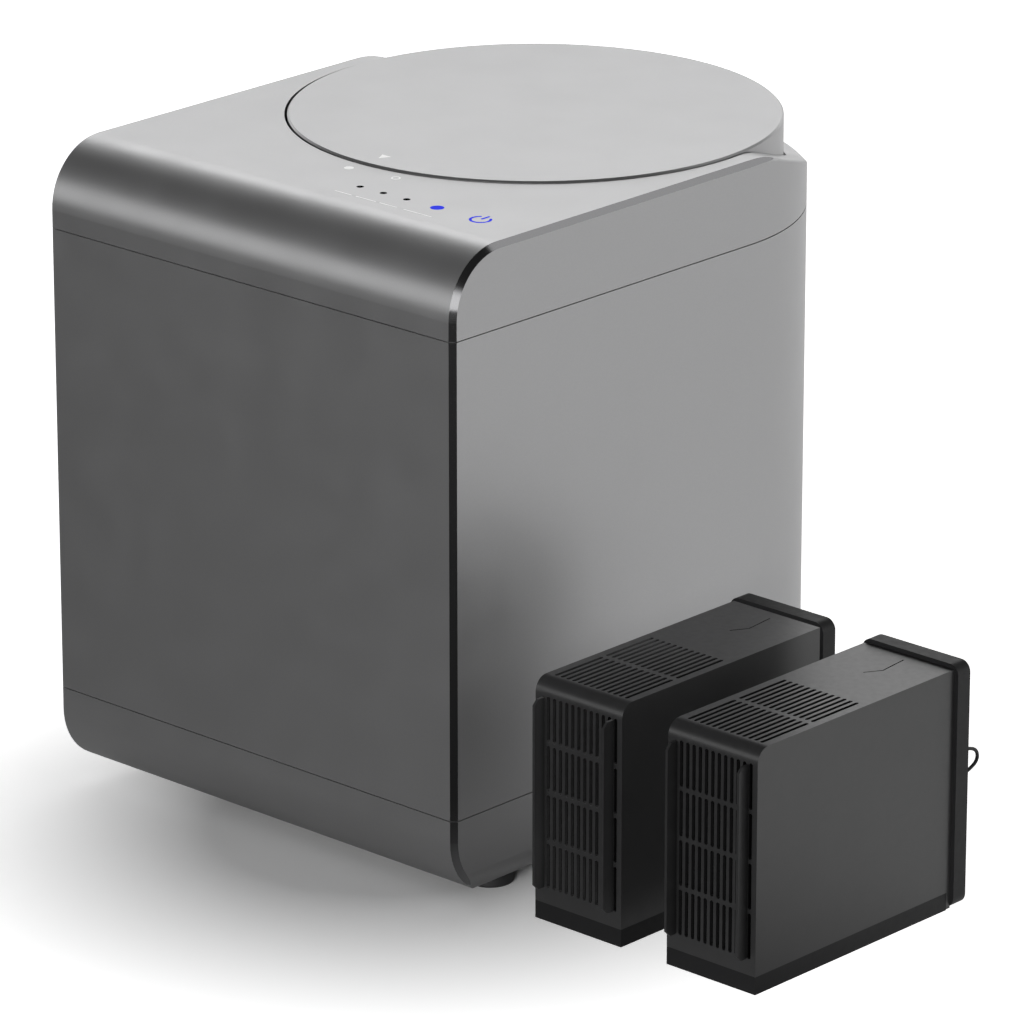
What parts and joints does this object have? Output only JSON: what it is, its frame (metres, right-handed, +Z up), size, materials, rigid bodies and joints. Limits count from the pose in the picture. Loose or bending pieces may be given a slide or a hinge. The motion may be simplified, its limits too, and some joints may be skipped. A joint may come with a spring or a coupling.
{
  "type": "electric food waste composter",
  "caption": "Countertop food waste composter with a round lift-off lid, a stirred bucket inside, rear filter bays and loose carbon filter cartridges beside it.",
  "frame": {"origin": "on the floor under the middle of the machine's width and depth, in the plane of the feet", "axes": "+Z up, +Y from the machine's front face to its rear, +X to the machine's right, where the cartridges stand"},
  "size_m": [0.4814, 0.362, 0.37],
  "materials": {
    "grey_satin": "satin metallic grey paint",
    "black_rubber": "matte",
    "charcoal_plastic": "fine matte",
    "black_plastic": "fine matte",
    "light_plastic": "satin",
    "gear_plastic": "natural acetal",
    "steel": "brushed",
    "cast_aluminium": "satin",
    "zinc_steel": "zinc plated",
    "bronze": "sintered",
    "board_green": "solder mask",
    "carbon": "granular",
    "black_cord": "braided cord",
    "dark_window": "gloss",
    "blue_light": "lit blue",
    "touch_key": "gloss with a lit icon"
  },
  "bodies": {
    "machine": {"base_tray": "grey_satin", "body_shell": "grey_satin", "top_cover": "grey_satin", "filter_bay": "black_plastic", "air_plenum": "black_plastic", "fan_frame": "black_plastic", "air_duct": "black_plastic", "chassis_plate": "zinc_steel", "chamber_liner": "cast_aluminium", "heater_band": "black_plastic", "lock_ring": "black_plastic", "idler_pin": "steel", "shaft_bush_lower": "bronze", "shaft_bush_upper": "bronze", "drive_motor": "zinc_steel", "control_board": "board_green", "indicator_windows": "dark_window", "status_light": "blue_light", "power_key": "touch_key", "power_board": "board_green", "power_inlet": "black_plastic", "chassis_screws": "steel", "foot_front_left": "black_rubber", "foot_front_right": "black_rubber", "foot_rear_left": "black_rubber", "foot_rear_right": "black_rubber"},
    "fan": {"fan_rotor": "black_plastic"},
    "drive": {"drive_shaft": "steel", "drive_gear": "gear_plastic", "drive_dog": "steel"},
    "idler": {"idler_gear": "gear_plastic"},
    "pinion": {"motor_pinion": "steel"},
    "bucket": {"bucket": "cast_aluminium", "bucket_bush": "black_plastic", "fixed_blades": "steel"},
    "stirrer": {"stirrer": "steel"},
    "bail": {"bail_handle": "steel"},
    "lid_inner": {"lid_liner": "light_plastic", "lid_gasket": "black_rubber"},
    "lid": {"lid_cap": "grey_satin", "lid_swivel_pin": "light_plastic"},
    "cartridge_inner": {"cartridge_case_inner": "charcoal_plastic", "cartridge_cap_inner": "black_plastic", "cartridge_flange_inner": "black_plastic", "carbon_bed_inner": "carbon", "pull_loop_inner": "black_cord"},
    "cartridge_outer": {"cartridge_case_outer": "charcoal_plastic", "cartridge_cap_outer": "black_plastic", "cartridge_flange_outer": "black_plastic", "carbon_bed_outer": "carbon", "pull_loop_outer": "black_cord"}
  },
  "joints": [
    {"name": "fan_spin", "type": "hinge", "parent": "machine", "child": "fan", "pos_m": [-0.0771, -0.0206, 0.139], "axis": [1, 0, 0], "continuous": true},
    {"name": "drive_spin", "type": "hinge", "parent": "machine", "child": "drive", "pos_m": [0, 0.046, 0.175], "axis": [0, 0, 1], "continuous": true},
    {"name": "idler_spin", "type": "hinge", "parent": "machine", "child": "idler", "pos_m": [0, -0.034, 0.175], "axis": [0, 0, 1], "continuous": true},
    {"name": "pinion_spin", "type": "hinge", "parent": "machine", "child": "pinion", "pos_m": [0, -0.078, 0.175], "axis": [0, 0, 1], "continuous": true},
    {"name": "bucket_lift", "type": "slide", "parent": "machine", "child": "bucket", "axis": [0, 0, 1], "range_m": [0, 0.16]},
    {"name": "stirrer_spin", "type": "hinge", "parent": "bucket", "child": "stirrer", "pos_m": [0, 0.046, 0.23], "axis": [0, 0, 1], "continuous": true},
    {"name": "bail_swing", "type": "hinge", "parent": "bucket", "child": "bail", "pos_m": [0, 0.046, 0.338], "axis": [1, 0, 0], "range_deg": [0, 90]},
    {"name": "lid_lift", "type": "slide", "parent": "bucket", "child": "lid_inner", "axis": [0, 0, 1], "range_m": [0, 0.188]},
    {"name": "lid_turn", "type": "hinge", "parent": "lid_inner", "child": "lid", "pos_m": [0, 0.046, 0.355], "axis": [0, 0, 1], "range_deg": [-3, 13]},
    {"name": "cartridge_inner_slide", "type": "slide", "parent": "machine", "child": "cartridge_inner", "axis": [0, 1, 0], "range_m": [0, 0.158]},
    {"name": "cartridge_outer_slide", "type": "slide", "parent": "machine", "child": "cartridge_outer", "axis": [0, 1, 0], "range_m": [0, 0.158]}
  ],
  "couplings": [
    {"joint": "idler_spin", "follows": "drive_spin", "ratio": -1.6667},
    {"joint": "pinion_spin", "follows": "drive_spin", "ratio": 3.5714},
    {"joint": "stirrer_spin", "follows": "drive_spin", "ratio": 1},
    {"joint": "bail_swing", "follows": "lid_lift", "rad_per_m": 8.33}
  ]
}
